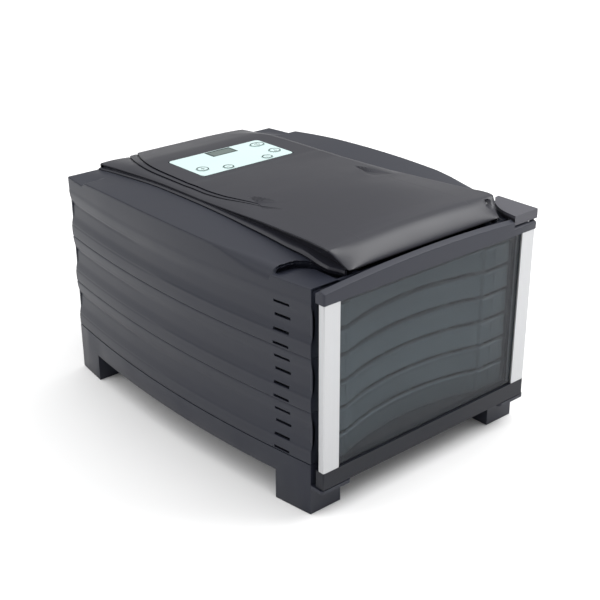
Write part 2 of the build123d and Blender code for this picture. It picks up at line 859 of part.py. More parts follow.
def make_trays():
    """Each tray in one piece: a barred floor, low rims and a tall curved front."""
    rim_middle = tray_half_width - rim_thickness / 2
    open_middle = (floor_open_front + floor_open_rear) / 2
    opening_width = (2 * floor_open_half - 2 * floor_bar) / 3
    opening_length = (floor_open_rear - floor_open_front - 2 * floor_bar) / 3
    for level in range(tray_count):
        bottom = tray_bottom(level)
        with BuildPart() as tray:
            with BuildSketch(Plane.XY.offset(bottom)):
                add(tray_outline())
                with Locations((0, open_middle)):
                    with GridLocations(opening_width + floor_bar, opening_length + floor_bar, 3, 3):
                        Rectangle(opening_width, opening_length, mode=Mode.SUBTRACT)
            extrude(amount=tray_floor)
            with BuildSketch(Plane.XY.offset(bottom)):
                add(tray_outline())
                add(tray_outline(fascia_thickness, -1), mode=Mode.SUBTRACT)
            extrude(amount=fascia_height)
            with Locations((-rim_middle, tray_middle, bottom), (rim_middle, tray_middle, bottom)):
                Box(rim_thickness, tray_depth, rim_height, align=UP)
            with Locations((0, tray_rear - rim_thickness / 2, bottom)):
                Box(2 * tray_half_width, rim_thickness, rim_height, align=UP)
        finish(tray, f"tray_{level + 1}")


def make_tray_meshes():
    """Open sheet that lies in each tray."""
    clearance = 0.4
    hole = 18.0
    hole_pitch = 22.0
    with BuildSketch() as sheet:
        add(tray_outline(fascia_thickness + clearance, rim_thickness + clearance))
        with Locations((0, tray_middle + 12)):
            with GridLocations(hole_pitch, hole_pitch, 12, 13):
                Rectangle(hole, hole, mode=Mode.SUBTRACT)
    for level in range(tray_count):
        with BuildPart() as mesh:
            with BuildSketch(Plane.XY.offset(tray_bottom(level) + tray_floor)):
                add(sheet.sketch)
            extrude(amount=mesh_thickness)
        finish(mesh, f"tray_mesh_{level + 1}")


# ---- fan, motor and heater -----------------------------------------------------------
def round_bar(x, z, front, rear, radius):
    """A round bar that runs from one depth to another."""
    with BuildPart() as bar:
        with BuildSketch(Plane.XZ.offset(-rear)):
            with Locations((x, z)):
                Circle(radius)
        extrude(amount=rear - front)
    return bar.part


def make_fan_impeller():
    """Axial fan wheel: a hub with pitched blades around it."""
    blade_chord = 30.0
    blade_thickness = 1.8
    blade_pitch = 38.0
    root = hub_radius - 3
    middle_y = impeller_front + impeller_length / 2
    hub_rear = impeller_front + impeller_length
    with BuildPart() as fan_impeller:
        for index in range(blade_count):
            angle = 2 * pi * index / blade_count
            outward = (cos(angle), 0, sin(angle))
            across = (-sin(angle), 0, cos(angle))
            blade_plane = Plane(
                origin=(root * outward[0], middle_y, fan_z + root * outward[2]),
                x_dir=across,
                z_dir=outward,
            )
            with BuildSketch(blade_plane):
                Rectangle(blade_chord, blade_thickness, rotation=blade_pitch)
            extrude(amount=impeller_radius - root - 1)
        add(round_bar(0, fan_z, impeller_front, hub_rear, hub_radius))
        add(round_bar(0, fan_z, shaft_front, hub_rear + 1, shaft_radius), mode=Mode.SUBTRACT)
    finish(fan_impeller, "fan_impeller")


def make_fan_shaft():
    with BuildPart() as fan_shaft:
        add(round_bar(0, fan_z, shaft_front, shaft_rear, shaft_radius))
    finish(fan_shaft, "fan_shaft")


def make_fan_motor():
    bore = shaft_radius + 0.05
    with BuildPart() as fan_motor:
        add(round_bar(0, fan_z, motor_front, motor_rear, motor_radius))
        add(round_bar(0, fan_z, motor_front - 1, motor_rear + 1, bore), mode=Mode.SUBTRACT)
    finish(fan_motor, "fan_motor")


def make_fan_shroud():
    """Short duct around the fan wheel on a square plate."""
    plate_half = mount_spread + 8
    plate_middle = shroud_plate + 1
    rear = shroud_plate + 2
    with BuildPart() as fan_shroud:
        with Locations((0, plate_middle, fan_z)):
            Box(2 * plate_half, 2, 2 * plate_half)
        add(round_bar(0, fan_z, shroud_front, rear, shroud_outer))
        add(round_bar(0, fan_z, shroud_front, rear, shroud_inner), mode=Mode.SUBTRACT)
    finish(fan_shroud, "fan_shroud")


def make_motor_bracket():
    """Four flat arms between the shroud's corners and the front of the motor."""
    front = shroud_plate + 2
    reach = mount_spread * sqrt(2) + 6
    with BuildPart() as motor_bracket:
        with BuildSketch(Plane.XZ.offset(-motor_front)):
            with Locations((0, fan_z)):
                Circle(24)
                Rectangle(2 * reach, 12, rotation=45)
                Rectangle(2 * reach, 12, rotation=-45)
                Circle(9, mode=Mode.SUBTRACT)
        extrude(amount=motor_front - front)
    finish(motor_bracket, "motor_bracket")


def make_heater():
    """Open ring of tubular heater with two straight ends into a terminal block."""
    gap_angle = 8.0
    leg_z = heater_radius * sin(radians(gap_angle))
    leg_start = heater_radius * cos(radians(gap_angle))
    with BuildPart() as heater_element:
        with BuildLine():
            ring = ThreePointArc(
                (leg_start, heater_y, fan_z + leg_z),
                (-heater_radius, heater_y, fan_z),
                (leg_start, heater_y, fan_z - leg_z),
            )
        with BuildSketch(Plane(origin=ring @ 0, z_dir=ring % 0)):
            Circle(heater_tube)
        sweep()
        for side in (-1, 1):
            with BuildSketch(Plane.YZ.offset(leg_start - 2)):
                with Locations((heater_y, fan_z + side * leg_z)):
                    Circle(heater_tube)
            extrude(amount=terminal_x - leg_start + 2)
    finish(heater_element, "heater_element")
    with BuildPart() as heater_terminals:
        with Locations((terminal_x + 7, baffle_y + liner_thickness + 6, fan_z)):
            Box(14, 12, 44)
    finish(heater_terminals, "heater_terminals")


def make_thermal_cutout():
    with BuildPart() as thermal_cutout:
        start = baffle_y + liner_thickness
        add(round_bar(-112, fan_z, start, start + 3, 9))
        add(round_bar(-112, fan_z, start + 3, start + 9, 7))
    finish(thermal_cutout, "thermal_cutout")


def make_mains_inlet():
    """Three-pin appliance inlet, open to the rear."""
    face = body_rear - 1
    cavity_depth = 15.0
    cavity_floor = face - cavity_depth
    pin_length = 9.0
    pin_places = ((-7, -2), (7, -2), (0, 2))
    with BuildPart() as mains_inlet:
        with Locations((inlet_x, (rear_panel_front + wall + face) / 2, inlet_z)):
            Box(46, face - rear_panel_front - wall, 24)
        with Locations((inlet_x, face - 10, inlet_z)):
            Box(27, 20, 19.6)
        with Locations((inlet_x, (face + cavity_floor) / 2, inlet_z)):
            Box(24, cavity_depth, 16.5, mode=Mode.SUBTRACT)
        for x, z in pin_places:
            with Locations((inlet_x + x, cavity_floor + pin_length / 2, inlet_z + z)):
                Box(2, pin_length, 4)
    finish(mains_inlet, "mains_inlet")


def main():
    make_base()
    make_foot_pads()
    make_side_panels()
    make_top_casing()
    make_rear_panel()
    make_rear_screws()
    make_hood()
    make_control_panel()
    make_keys()
    make_display()
    make_control_board()
    make_power_board()
    make_hinge_cap()
    make_hinge_pins()
    make_door_top_bar()
    make_door_bottom_bar()
    make_door_glass()
    make_door_strips()
    make_catch()
    make_side_liners()
    make_floor_and_ceiling()
    make_rear_baffle()
    make_trays()
    make_tray_meshes()
    make_fan_impeller()
    make_fan_shaft()
    make_fan_motor()
    make_fan_shroud()
    make_motor_bracket()
    make_heater()
    make_thermal_cutout()
    make_mains_inlet()


main()
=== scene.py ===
"""Looks of a front-loading cabinet food dehydrator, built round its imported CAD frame.

Lengths are millimetres in the row frame and become metres when a mesh is made.
Depth is counted from the cabinet's front plane towards the rear.
"""
from math import cos, pi, radians, sin

import bmesh
import bpy
import numpy as np
from mathutils import Matrix, Vector


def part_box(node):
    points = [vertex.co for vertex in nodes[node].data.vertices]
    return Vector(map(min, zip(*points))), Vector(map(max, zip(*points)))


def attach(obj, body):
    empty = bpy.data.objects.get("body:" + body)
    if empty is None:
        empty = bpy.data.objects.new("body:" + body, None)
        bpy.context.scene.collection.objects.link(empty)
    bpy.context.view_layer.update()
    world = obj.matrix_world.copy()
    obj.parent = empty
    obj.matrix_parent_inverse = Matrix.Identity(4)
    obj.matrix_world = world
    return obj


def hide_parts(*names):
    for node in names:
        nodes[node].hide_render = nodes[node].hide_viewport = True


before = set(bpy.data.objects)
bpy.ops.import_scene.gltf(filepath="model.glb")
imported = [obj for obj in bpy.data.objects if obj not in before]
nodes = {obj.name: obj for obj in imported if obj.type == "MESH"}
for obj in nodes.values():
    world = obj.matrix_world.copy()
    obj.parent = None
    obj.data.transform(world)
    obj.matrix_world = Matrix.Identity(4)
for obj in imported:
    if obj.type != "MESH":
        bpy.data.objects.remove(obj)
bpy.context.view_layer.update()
MM = 0.001


def cad_box(name):
    """Lowest and highest corner of a CAD node in millimetres."""
    low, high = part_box(name)
    return np.array(low) / MM, np.array(high) / MM


casing_low, casing_high = cad_box("top_casing")
FRONT = casing_low[1]
REAR = casing_high[1]
LENGTH = REAR - FRONT
CORNER = 153.0
BULGE = 16.0
SEAM_GAP = 0.3
CASING_WALL = 2.6
HOOD_WALL = 2.4
FLANGE = 3.0
FLANGE_EDGE = 0.4
FLANGE_OUTER = 151
FLANGES = ((141, FRONT, FRONT + FLANGE), (135, REAR - FLANGE, REAR))
MIRROR = np.array([-1.0, 1.0, 1.0])


# ---- curves --------------------------------------------------------------------------
def smooth(start, end, x):
    """0 before start, 1 after end, an even slope change in between."""
    t = np.clip((np.asarray(x, float) - start) / (end - start), 0, 1)
    return t * t * (3 - 2 * t)


def curve(x, *knots):
    """Smooth curve through (place, value) knots that never overshoots them."""
    xs, ys = np.array(knots, float).T
    h = np.diff(xs)
    d = np.diff(ys) / h
    m = np.zeros_like(xs)
    m[0], m[-1] = d[0], d[-1]
    both = d[1:] * d[:-1]
    m[1:-1] = np.where(both > 0, 2 * both / np.where(both > 0, d[1:] + d[:-1], 1), 0)
    x = np.clip(np.asarray(x, float), xs[0], xs[-1])
    i = np.clip(np.searchsorted(xs, x) - 1, 0, len(xs) - 2)
    t = (x - xs[i]) / h[i]
    return (
        ys[i] * (1 + 2 * t) * (1 - t) ** 2
        + ys[i + 1] * t * t * (3 - 2 * t)
        + h[i] * (m[i] * t * (1 - t) ** 2 + m[i + 1] * t * t * (t - 1))
    )


def steps(start, end, size):
    """Even places from start to end, about size apart."""
    return np.linspace(start, end, max(2, int(round(abs(end - start) / size)) + 1))


# ---- meshes --------------------------------------------------------------------------
def add_mesh(name, verts, faces, body, material, slot, stands_for=(), angle=32.0):
    """A finished piece on a CAD body."""
    me = bpy.data.meshes.new(name)
    me.from_pydata((np.asarray(verts, float) * MM).tolist(), [], [list(f) for f in faces])
    me.validate()
    me.shade_smooth()
    me.set_sharp_from_angle(angle=radians(angle))
    piece = bpy.data.objects.new(name, me)
    bpy.context.scene.collection.objects.link(piece)
    me.materials.append(material)
    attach(piece, body)
    if stands_for:
        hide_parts(*stands_for)
    return piece


def slab(outer, shift, keep=None):
    """Closed plate between a grid of points and the same grid moved by shift."""
    n, m = outer.shape[:2]
    index = np.arange(n * m).reshape(n, m)
    quads = np.stack(
        [index[:-1, :-1], index[1:, :-1], index[1:, 1:], index[:-1, 1:]], axis=-1
    ).reshape(-1, 4)
    if keep is not None:
        quads = quads[keep.ravel()]
    edges = np.concatenate([quads[:, [k, (k + 1) % 4]] for k in range(4)])
    code = edges[:, 0] * n * m + edges[:, 1]
    back = edges[:, 1] * n * m + edges[:, 0]
    rim = edges[~np.isin(code, back)]
    under = n * m
    faces = np.concatenate(
        [
            quads,
            quads[:, ::-1] + under,
            np.stack([rim[:, 1], rim[:, 0], rim[:, 0] + under, rim[:, 1] + under], axis=-1),
        ]
    )
    verts = np.concatenate([outer.reshape(-1, 3), (outer + shift).reshape(-1, 3)])
    used, packed = np.unique(faces, return_inverse=True)
    return verts[used], packed.reshape(faces.shape)


def flipped(grid):
    """The same surface on the other side of the cabinet, still facing outwards."""
    return (grid * MIRROR)[::-1]


def mirrored(part):
    """A closed part on the other side of the cabinet, still facing outwards."""
    verts, faces = part
    return verts * MIRROR, [face[::-1] for face in faces]


def surface(across, along, up):
    """Grid of points from three arrays that fill each other out."""
    return np.stack(np.broadcast_arrays(across, along, up), axis=-1)


def join(*parts):
    """One list of points and faces from several."""
    verts, faces, count = [], [], 0
    for v, f in parts:
        verts.append(np.asarray(v, float))
        faces += [tuple(int(i) + count for i in face) for face in f]
        count += len(v)
    return np.concatenate(verts), faces


def from_bmesh(bm):
    """Points and faces of a bmesh, which is then freed."""
    bm.verts.ensure_lookup_table()
    verts = [tuple(v.co) for v in bm.verts]
    faces = [tuple(v.index for v in f.verts) for f in bm.faces]
    bm.free()
    return np.array(verts), faces


def block(low, high, width=0.5):
    """Box between two corners, its edges rounded over width."""
    low, high = np.array(low, float), np.array(high, float)
    bm = bmesh.new()
    bmesh.ops.create_cube(bm, size=1.0)
    for v in bm.verts:
        v.co = Vector((low + high) / 2 + np.array(v.co) * (high - low))
    bm.normal_update()
    if width > 0:
        bmesh.ops.bevel(bm, geom=list(bm.edges), offset=width, segments=2, profile=0.5, affect="EDGES")
    bm.verts.index_update()
    return from_bmesh(bm)


def prism(outline, bottom, top):
    """Upright solid over a flat outline."""
    bm = bmesh.new()
    ends = [[bm.verts.new((x, y, z)) for x, y in outline] for z in (bottom, top)]
    bm.faces.new(ends[0])
    bm.faces.new(ends[1])
    count = len(outline)
    for i in range(count):
        j = (i + 1) % count
        bm.faces.new((ends[0][i], ends[0][j], ends[1][j], ends[1][i]))
    bmesh.ops.recalc_face_normals(bm, faces=bm.faces)
    bm.verts.index_update()
    return from_bmesh(bm)


def sweep(sections):
    """Closed solid through a row of equal loops of points."""
    count = len(sections[0])
    index = np.arange(len(sections) * count).reshape(len(sections), count)
    faces = [tuple(index[0][::-1]), tuple(index[-1])]
    for near, far in zip(index[:-1], index[1:]):
        for k in range(count):
            j = (k + 1) % count
            faces.append((near[k], near[j], far[j], far[k]))
    return np.concatenate(sections), faces


def rounded_rectangle(cx, cy, half_x, half_y, radius):
    """Outline of a rectangle with round corners."""
    points = []
    for k, (sx, sy) in enumerate(((1, 1), (-1, 1), (-1, -1), (1, -1))):
        for a in np.linspace(0, pi / 2, 3):
            turn = a + k * pi / 2
            x = cx + (sx * (half_x - radius) + radius * cos(turn))
            y = cy + (sy * (half_y - radius) + radius * sin(turn))
            points.append((x, y))
    return points


def ring(cx, cy, z, half_x, half_y, line, height):
    """Flat oval ring, line wide at the sides and wider front and rear."""
    count = 48
    turn = np.linspace(0, 2 * pi, count, endpoint=False)
    loops = []
    for grow, up in ((0, 0), (0, height), (-line, height), (-line, 0)):
        x = cx + (half_x + grow) * np.cos(turn)
        y = cy + (half_y + 1.5 * grow) * np.sin(turn)
        loops.append(surface(x, y, z + up))
    faces = []
    for a in range(4):
        b = (a + 1) % 4
        for i in range(count):
            j = (i + 1) % count
            faces.append((a * count + i, a * count + j, b * count + j, b * count + i))
    return np.concatenate(loops), faces


# ---- materials -----------------------------------------------------------------------
def plain(
    name,
    color,
    roughness,
    change=0.12,
    bump=0.05,
    grain=900.0,
    metallic=0.0,
    stretch=(1, 1, 1),
    specular=0.5,
):
    """Procedural surface: base colour and roughness drift slightly, and a fine grain lies on top."""
    mat = bpy.data.materials.new(name)
    mat.use_nodes = True
    tree = mat.node_tree
    links = tree.links
    shader = tree.nodes["Principled BSDF"]
    where = tree.nodes.new("ShaderNodeTexCoord")
    scale = tree.nodes.new("ShaderNodeMapping")
    scale.inputs["Scale"].default_value = stretch
    links.new(where.outputs["Object"], scale.inputs["Vector"])
    broad = tree.nodes.new("ShaderNodeTexNoise")
    broad.inputs["Scale"].default_value = 14.0
    broad.inputs["Detail"].default_value = 3.0
    links.new(scale.outputs["Vector"], broad.inputs["Vector"])
    tint = tree.nodes.new("ShaderNodeMix")
    tint.data_type = "RGBA"
    tint.inputs["A"].default_value = (*[c * (1 - change) for c in color[:3]], 1)
    tint.inputs["B"].default_value = (*[min(1, c * (1 + change)) for c in color[:3]], 1)
    links.new(broad.outputs["Fac"], tint.inputs["Factor"])
    links.new(tint.outputs["Result"], shader.inputs["Base Color"])
    rough = tree.nodes.new("ShaderNodeMapRange")
    rough.inputs["To Min"].default_value = max(0.02, roughness - 0.06)
    rough.inputs["To Max"].default_value = min(1.0, roughness + 0.06)
    links.new(broad.outputs["Fac"], rough.inputs["Value"])
    links.new(rough.outputs["Result"], shader.inputs["Roughness"])
    if bump > 0:
        fine = tree.nodes.new("ShaderNodeTexNoise")
        fine.inputs["Scale"].default_value = grain
        fine.inputs["Detail"].default_value = 2.0
        links.new(scale.outputs["Vector"], fine.inputs["Vector"])
        relief = tree.nodes.new("ShaderNodeBump")
        relief.inputs["Strength"].default_value = bump
        relief.inputs["Distance"].default_value = 0.0004
        links.new(fine.outputs["Fac"], relief.inputs["Height"])
        links.new(relief.outputs["Normal"], shader.inputs["Normal"])
    shader.inputs["Metallic"].default_value = metallic
    shader.inputs["Specular IOR Level"].default_value = specular
    return mat


def veil(name, color, share, roughness):
    """Smoky sheet: a share of light passes straight through, the rest meets a satin surface."""
    mat = plain(name, color, roughness, change=0.05, bump=0.0)
    tree = mat.node_tree
    shader = tree.nodes["Principled BSDF"]
    clear = tree.nodes.new("ShaderNodeBsdfTransparent")
    clear.inputs["Color"].default_value = (0.86, 0.90, 0.92, 1)
    mix = tree.nodes.new("ShaderNodeMixShader")
    mix.inputs["Fac"].default_value = share
    tree.links.new(shader.outputs["BSDF"], mix.inputs[1])
    tree.links.new(clear.outputs["BSDF"], mix.inputs[2])
    tree.links.new(mix.outputs["Shader"], tree.nodes["Material Output"].inputs["Surface"])
    return mat


SKIN = plain("casing_plastic", (0.0155, 0.0175, 0.027), 0.42, bump=0.06, specular=0.31)
HOOD = plain("hood_plastic", (0.0165, 0.0170, 0.024), 0.36, bump=0.04, specular=0.34)
BAR = plain("bar_plastic", (0.020, 0.022, 0.033), 0.42, bump=0.04, specular=0.3)
LOW_BAR = plain("lower_bar_plastic", (0.008, 0.009, 0.014), 0.45, bump=0.04, specular=0.25)
CAP = plain("cap_plastic", (0.062, 0.062, 0.074), 0.44, bump=0.04, specular=0.3)
DARK = plain("liner_plastic", (0.030, 0.032, 0.036), 0.5)
METAL = plain(
    "strip_aluminium", (0.50, 0.505, 0.515), 0.36,
    change=0.03, bump=0.08, grain=500, metallic=0.55, stretch=(30, 30, 0.6),
)
GLASS = veil("door_tinted_glass", (0.026, 0.029, 0.036), 0.62, 0.12)
RUBBER = plain("pad_rubber", (0.03, 0.03, 0.03), 0.8)
TRAY = plain("tray_smoky_plastic", (0.27, 0.32, 0.335), 0.22, bump=0.02)
NET = plain("tray_net", (0.12, 0.15, 0.15), 0.45)
PANEL = plain("panel_overlay", (0.53, 0.66, 0.65), 0.4, change=0.02, bump=0.01)
PRINT = plain("panel_print", (0.045, 0.065, 0.062), 0.5, change=0.05, bump=0.0, specular=0.15)
SCREEN = plain("display_face", (0.120, 0.150, 0.140), 0.4, change=0.06, bump=0.0, specular=0.15)
BOARD = plain("circuit_board", (0.03, 0.16, 0.07), 0.45)
STEEL = plain("plated_steel", (0.55, 0.55, 0.57), 0.35, metallic=1.0, change=0.05)
SHEET = plain("galvanised_sheet", (0.50, 0.51, 0.53), 0.42, metallic=0.9, change=0.12)
HEATER = plain("heater_sheath", (0.22, 0.19, 0.17), 0.5, metallic=0.8, change=0.2)
CERAMIC = plain("terminal_ceramic", (0.68, 0.64, 0.56), 0.55)
MOTOR = plain("motor_lacquer", (0.20, 0.21, 0.22), 0.45, metallic=0.5)
FAN = plain("fan_plastic", (0.05, 0.05, 0.055), 0.35)
SOCKET = plain("inlet_plastic", (0.022, 0.022, 0.025), 0.5)
FLOOR = plain("floor_paper", (0.88, 0.88, 0.88), 0.9, change=0.01, bump=0.0, specular=0.1)


# ---- cabinet outline -----------------------------------------------------------------
def swell(depth):
    """Share of the sides' bulge at a depth: 1 half way back, 0 at both ends."""
    return 1 - ((depth - LENGTH / 2) / (LENGTH / 2)) ** 2


def edge_height(depth):
    """Height of the shoulder along the cabinet."""
    return curve(
        depth, (0, 248.0), (55, 254.6), (130, 257.6), (215, 258.5), (300, 257.5), (385, 252.8), (430, 248.2)
    )


SEGMENT = 58.3
RIDGE_HEIGHT, RIDGE_WIDTH = 15.0, 1.0
REAR_LINE_HEIGHT, REAR_LINE_WIDTH = 41.0, 1.6


def wave(height, depth):
    """How far the side stands in from its crest line, with the thin ridge above each seam."""
    dip = curve(
        height,
        (0, 0.9), (1.2, 0.35), (8, 0.0), (14.5, 0.1), (18, 0.9), (28, 2.9), (39, 3.2), (50, 1.2), (57, 0.35),
        (SEGMENT, 0.9),
    )
    at_ridge = np.exp(-(((height - RIDGE_HEIGHT) / RIDGE_WIDTH) ** 2))
    ridge = at_ridge * (1.7 * smooth(260, 170, depth) - 0.6)
    at_rear_line = np.exp(-(((height - REAR_LINE_HEIGHT) / REAR_LINE_WIDTH) ** 2))
    rear = at_rear_line * 0.55 * smooth(250, 300, depth)
    return dip - 0.75 * ridge + rear


def side_x(depth, z, seam):
    """Half width of the cabinet at a depth and height, seam being the panel's lower edge."""
    bulge = BULGE * swell(depth)
    return CORNER + bulge - np.maximum(wave(z - seam, depth), 0.0)


SLOT_TOP, SLOT_PITCH, SLOT_COUNT = 222.0, 14.6, 12
SLOT_HALF = 1.5
SLOT_START, SLOT_END = 28.0, 48.5
slot_heights = [SLOT_TOP - SLOT_PITCH * k for k in range(SLOT_COUNT)]
station = np.unique(
    np.round(
        np.concatenate(
            [
                steps(0, 2, 0.5),
                steps(2, SLOT_START, 1.1),
                [SLOT_START, SLOT_END],
                steps(SLOT_START, SLOT_END, 0.9),
                steps(SLOT_END, 56, 0.7),
                steps(56, 380, 4.0),
                steps(380, 396, 1.0),
                steps(396, LENGTH, 3.0),
            ]
        ),
        3,
    )
)


def slot_mask(depths, heights):
    """True for the grid's cells that are plastic, false for those inside a vent slot."""
    d = (depths[:-1] + depths[1:]) / 2
    z = (heights[:-1] + heights[1:]) / 2
    in_depth = (d > SLOT_START) & (d < SLOT_END)
    in_height = np.zeros(len(z), bool)
    for middle in slot_heights:
        in_height |= abs(z - middle) < SLOT_HALF
    return ~(in_depth[:, None] & in_height[None, :])


def rows(bottom, top, size=1.0):
    """Grid heights that include the edges of every vent slot."""
    edges = [z + side * SLOT_HALF for z in slot_heights for side in (-1, 1)]
    inside = [z for z in edges if bottom + 0.2 < z < top - 0.2]
    marks = np.array(sorted([bottom, top, *inside]))
    return np.unique(np.concatenate([steps(a, b, size) for a, b in zip(marks[:-1], marks[1:])]).round(4))


def panel_piece(name, bottom, top):
    """One side panel on each side, with its front and rear flanges."""
    heights = rows(bottom + SEAM_GAP, top)
    x = side_x(station[:, None], heights[None, :], bottom)
    grid = surface(x, FRONT + station[:, None], heights[None, :])
    keep = slot_mask(station, heights)
    wall = np.array([CASING_WALL, 0, 0])
    flanges = [
        block((inner, y0, bottom + SEAM_GAP), (FLANGE_OUTER, y1, top), FLANGE_EDGE)
        for inner, y0, y1 in FLANGES
    ]
    right = join(slab(grid, -wall, keep), *flanges)
    left = join(slab(flipped(grid), wall, keep[::-1]), *[mirrored(flange) for flange in flanges])
    add_mesh(f"skin_right_{name}", *right, "cabinet", SKIN, "charcoal_casing", [f"side_panel_right_{name}"])
    add_mesh(f"skin_left_{name}", *left, "cabinet", SKIN, "charcoal_casing", [f"side_panel_left_{name}"])


LOWER_TOP = cad_box("side_panel_right_lower")[1][2]
MIDDLE_TOP = cad_box("side_panel_right_middle")[1][2]
BASE_TOP = cad_box("base")[1][2]
panel_piece("lower", BASE_TOP, LOWER_TOP)
panel_piece("middle", LOWER_TOP, MIDDLE_TOP)

# ---- top casing ----------------------------------------------------------------------
SEAT_FLOOR = 247.6
SEAT_SLOPE = 0.9
REAR_CORNER = 248.2
WALL_SPLIT = 226.0
REACH = 16.0


def riser_depth(x):
    """Depth of the cap seat's rear edge at a distance from the middle."""
    return curve(x, (98, -4), (100, 4), (109, 25), (120, 42), (131, 50), (146, 51), (154, 52), (175, 53))


def casing_profile():
    """Grid over the right-hand side and shoulder, from the seam up and inwards."""
    low_rows = rows(MIDDLE_TOP + SEAM_GAP, WALL_SPLIT)
    lift = np.linspace(0, 1, 14)[1:-1]
    round_in = REACH * (1 - np.cos(np.linspace(0, pi / 2, 12)))
    deep = np.concatenate([round_in, steps(REACH, 62, 0.8)[1:]])
    depth = station[:, None]
    half = CORNER + BULGE * swell(depth) - 0.4
    radius = 1.2 + 13 * smooth(150, 62, depth)
    crest = edge_height(depth)
    crest = crest - (crest - REAR_CORNER) * smooth(383, 391, depth) * smooth(34, 8, deep[None, :])
    t = np.clip(1 - deep[None, :] / radius, 0, 1)
    fall = radius * (1 - np.sqrt(np.clip(1 - t * t, 0, 1)))
    top_z = crest - fall
    top_x = half - deep[None, :]
    inside = (riser_depth(top_x) - depth) * SEAT_SLOPE
    seat = smooth(0.0, 1.6, inside)
    under = smooth(0.2, 1.0, inside) * smooth(8.0, 3.0, inside) * smooth(152.5, 149.5, top_x)
    hollow = 3.0 * under + 6 * smooth(119, 114, top_x) * smooth(0.5, 2, inside)
    edge_fall = 1.0 - np.sqrt(1 - np.clip(1 - deep[None, :], 0, 1) ** 2)
    top_z = top_z * (1 - seat) + (SEAT_FLOOR - edge_fall) * seat - hollow
    wall_top = top_z[:, :1]
    low_z = np.broadcast_to(low_rows[None, :], (len(station), len(low_rows)))
    high_z = WALL_SPLIT + (wall_top - WALL_SPLIT) * lift[None, :]
    wall_z = np.concatenate([low_z, high_z], axis=1)
    blend = smooth(222, 246, wall_z)
    wall_x = side_x(depth, np.minimum(wall_z, MIDDLE_TOP + SEGMENT), MIDDLE_TOP)
    wall_x = wall_x * (1 - blend) + half * blend
    x = np.concatenate([wall_x, top_x], axis=1)
    z = np.concatenate([wall_z, top_z], axis=1)
    y = FRONT + depth + np.concatenate([0 * wall_x, 9.0 * under], axis=1)
    shift = np.zeros(x.shape + (3,))
    shift[:, : wall_z.shape[1] + 6, 0] = -CASING_WALL
    shift[:, wall_z.shape[1] :, 2] = -CASING_WALL
    keep = np.ones((len(station) - 1, x.shape[1] - 1), bool)
    keep[:, : len(low_rows) - 1] = slot_mask(station, low_rows)
    return np.stack([x, y, z], axis=-1), shift, keep


grid, shift, keep = casing_profile()
right = slab(grid, shift, keep)
left = slab(flipped(grid), (shift * MIRROR)[::-1], keep[::-1])
ends = []
for side in (-1, 1):
    for inner, y0, y1 in FLANGES:
        a, b = sorted((side * inner, side * FLANGE_OUTER))
        ends.append(block((a, y0, MIDDLE_TOP + SEAM_GAP), (b, y1, 246.5), FLANGE_EDGE))
front_wall = block((-141.2, FRONT, 222), (141.2, FRONT + FLANGE, 247.3), FLANGE_EDGE)
rear_wall = block((-135.2, REAR - FLANGE, 232), (135.2, REAR, 247.8), FLANGE_EDGE)
casing = join(right, left, *ends, front_wall, rear_wall)
add_mesh("casing_top", *casing, "cabinet", SKIN, "charcoal_casing", ["top_casing"])


# ---- hood ----------------------------------------------------------------------------
panel_low, panel_high = cad_box("control_panel")
PANEL_HALF = panel_high[0]
PANEL_FRONT = panel_low[1] - FRONT
PANEL_REAR = panel_high[1] - FRONT
NOSE = cad_box("hood")[0][1] - FRONT
LIP = 254.6
PANEL_CELLS = 16
RIM_WIDTH = 1.2
GROOVE_RIGHT, GROOVE_LEFT = 0.1, 1.0
RAMP_START, RAMP_LENGTH, RAMP_DEPTH = 137, 48, 4.6
NOSE_ROWS = 28
DENT_X, DENT_Z = 104.0, 267.5
REAR_FOOT = 247.9
POCKET_BOTTOM, POCKET_TOP, POCKET_MARGIN = 262.6, 264.2, 3


def crown(depth):
    """Height of the hood's middle line at a depth."""
    return curve(
        depth,
        (24, 276.0), (40, 277.2), (70, 277.9), (110, 277.4), (150, 275.8), (190, 273.3), (230, 270.6),
        (262, 268.0), (276, 267.0), (354, 267.0), (372, 266.2), (395, 263.0), (415, 259.6), (430, 257.0),
    )


def hood_stations():
    """Depth and top height of each section, round the nose and then back to the rear edge."""
    nose_d = NOSE + np.concatenate([[0.25, 0.9], steps(1.8, 27, 1.1)])
    nose_z = curve(
        nose_d - NOSE,
        (0.25, 255.6), (0.9, 256.8), (1.8, 258.2), (5, 262.3), (10, 267.7), (14, 271.2), (18, 273.7),
        (22, 275.2), (27, 276.0),
    )
    to_panel = steps(24, PANEL_FRONT, 2.4)[1:]
    past_panel = steps(PANEL_FRONT, PANEL_REAR, 5.0)[1:]
    to_rear = steps(PANEL_REAR, LENGTH - 0.2, 2.6)[1:]
    back = np.unique(np.round(np.concatenate([to_panel, past_panel, to_rear]), 3))
    depth = np.concatenate([[0.3, NOSE + 0.6, NOSE], nose_d, back])
    top = np.concatenate([[LIP, LIP, LIP + 0.3], nose_z, crown(back)])
    return depth, top


